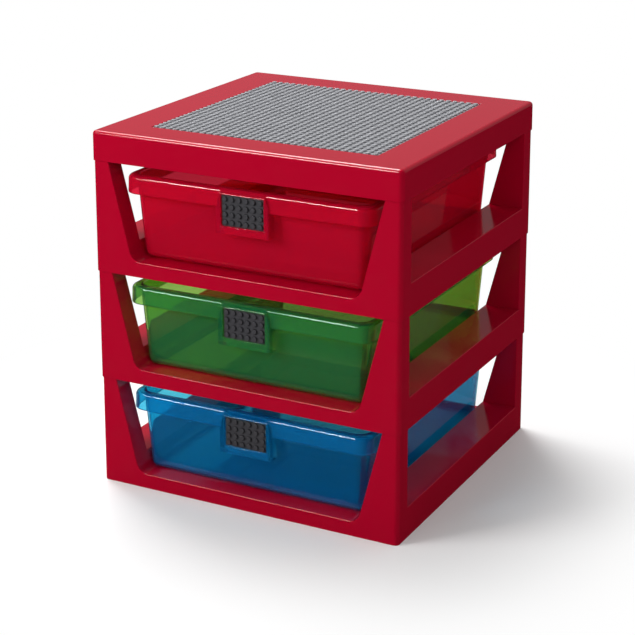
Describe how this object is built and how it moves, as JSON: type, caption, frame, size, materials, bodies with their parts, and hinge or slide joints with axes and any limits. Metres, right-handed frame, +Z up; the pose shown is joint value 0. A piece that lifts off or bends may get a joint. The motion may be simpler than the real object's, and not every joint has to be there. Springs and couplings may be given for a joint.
{
  "type": "brick storage drawers",
  "caption": "Stack of moulded drawer frames under a lid with an inset building plate, and translucent drawers with studded handle plates.",
  "frame": {"origin": "middle of the foot, on the surface that the rack stands on", "axes": "+Z up, -Y towards the front, where the drawers pull out, +X to the right seen from the front"},
  "size_m": [0.3492, 0.3392, 0.3859],
  "materials": {
    "rack_plastic": "injection moulded, high gloss",
    "plate_plastic": "injection moulded, satin gloss",
    "handle_plastic": "injection moulded, satin gloss",
    "red_drawer_plastic": "injection moulded, translucent, high gloss",
    "green_drawer_plastic": "injection moulded, translucent, high gloss",
    "blue_drawer_plastic": "injection moulded, translucent, high gloss"
  },
  "bodies": {
    "rack": {"lid": "rack_plastic", "stud_plate": "plate_plastic", "upper_frame": "rack_plastic", "middle_frame": "rack_plastic", "lower_frame": "rack_plastic"},
    "upper_drawer": {"upper_drawer": "red_drawer_plastic", "upper_handle_plate": "handle_plastic"},
    "middle_drawer": {"middle_drawer": "green_drawer_plastic", "middle_handle_plate": "handle_plastic"},
    "lower_drawer": {"lower_drawer": "blue_drawer_plastic", "lower_handle_plate": "handle_plastic"}
  },
  "joints": [
    {"name": "upper_drawer_slide", "type": "slide", "parent": "rack", "child": "upper_drawer", "axis": [0, -1, 0], "range_m": [0, 0.2]},
    {"name": "middle_drawer_slide", "type": "slide", "parent": "rack", "child": "middle_drawer", "axis": [0, -1, 0], "range_m": [0, 0.2]},
    {"name": "lower_drawer_slide", "type": "slide", "parent": "rack", "child": "lower_drawer", "axis": [0, -1, 0], "range_m": [0, 0.2]}
  ]
}
